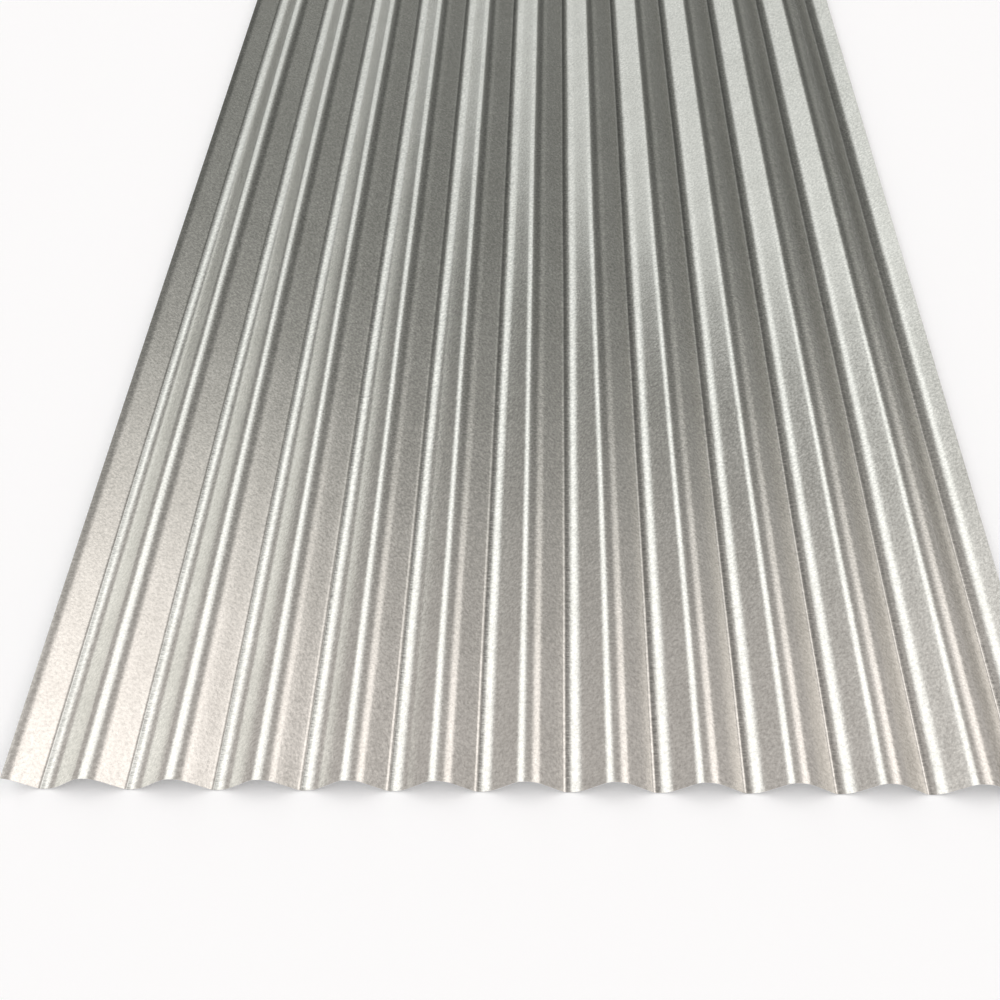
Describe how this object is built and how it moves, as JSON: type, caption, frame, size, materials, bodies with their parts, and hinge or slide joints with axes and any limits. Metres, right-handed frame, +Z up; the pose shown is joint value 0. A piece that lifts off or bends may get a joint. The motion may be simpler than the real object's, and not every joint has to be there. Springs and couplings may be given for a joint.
{
  "type": "corrugated roofing sheet",
  "caption": "Galvanised steel roofing sheet rolled into rounded waves along its length, laid flat; it rests on roof purlins and laps its neighbours sideways.",
  "frame": {"origin": "on the floor, at the centre of the sheet's rectangular outline", "axes": "+X across the waves, +Y along the waves, +Z up, from the underside to the weather side"},
  "size_m": [0.895, 1.829, 0.018],
  "materials": {
    "galvanised_steel": "satin zinc coating, fine frosted grain"
  },
  "bodies": {
    "root": {"corrugated_sheet": "galvanised_steel"}
  },
  "joints": []
}
